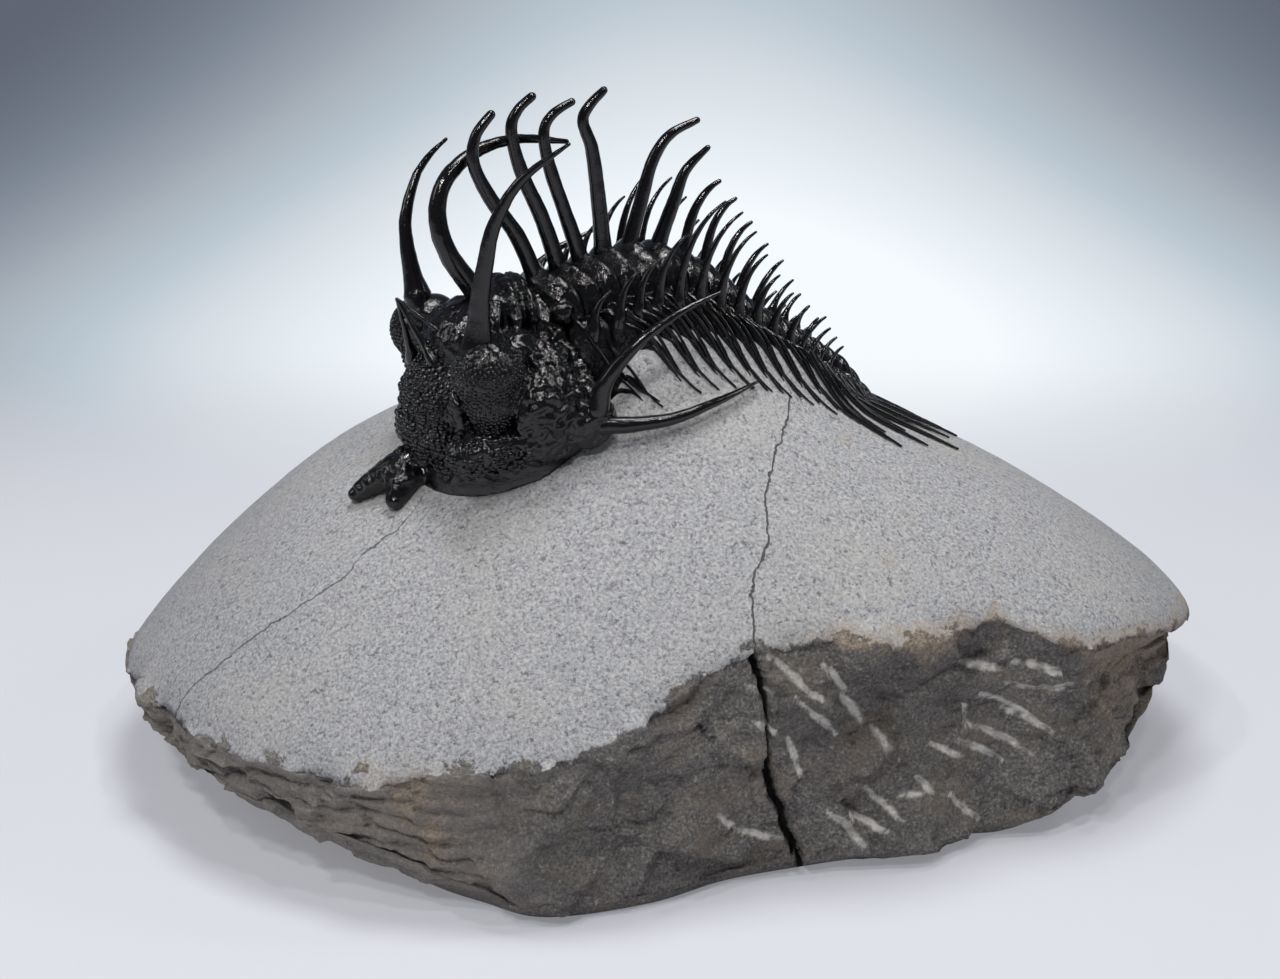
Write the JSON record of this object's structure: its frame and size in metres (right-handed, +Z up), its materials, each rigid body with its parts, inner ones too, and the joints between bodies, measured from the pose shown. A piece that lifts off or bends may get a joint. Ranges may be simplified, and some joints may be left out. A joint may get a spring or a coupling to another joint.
{
  "type": "spiny trilobite fossil on limestone",
  "caption": "Glossy black spiny trilobite fossil prepared standing free on a smooth domed block of grey limestone with rough broken sides.",
  "frame": {"origin": "middle of the block's bounding box, on the flat underside that it stands on", "axes": "+X along the block's longest side, towards the animal's tail end; +Y across the block, away from the side with the high broken face; +Z up"},
  "size_m": [0.122, 0.087, 0.0784],
  "materials": {
    "limestone": "matt, air-abraded",
    "fossil_shell": "glossy, polished by preparation"
  },
  "bodies": {
    "root": {"matrix": "limestone", "head_shield": "fossil_shell", "thorax_segment_01": "fossil_shell", "thorax_segment_02": "fossil_shell", "thorax_segment_03": "fossil_shell", "thorax_segment_04": "fossil_shell", "thorax_segment_05": "fossil_shell", "thorax_segment_06": "fossil_shell", "thorax_segment_07": "fossil_shell", "thorax_segment_08": "fossil_shell", "thorax_segment_09": "fossil_shell", "thorax_segment_10": "fossil_shell", "thorax_segment_11": "fossil_shell", "tail_shield": "fossil_shell"}
  },
  "joints": []
}
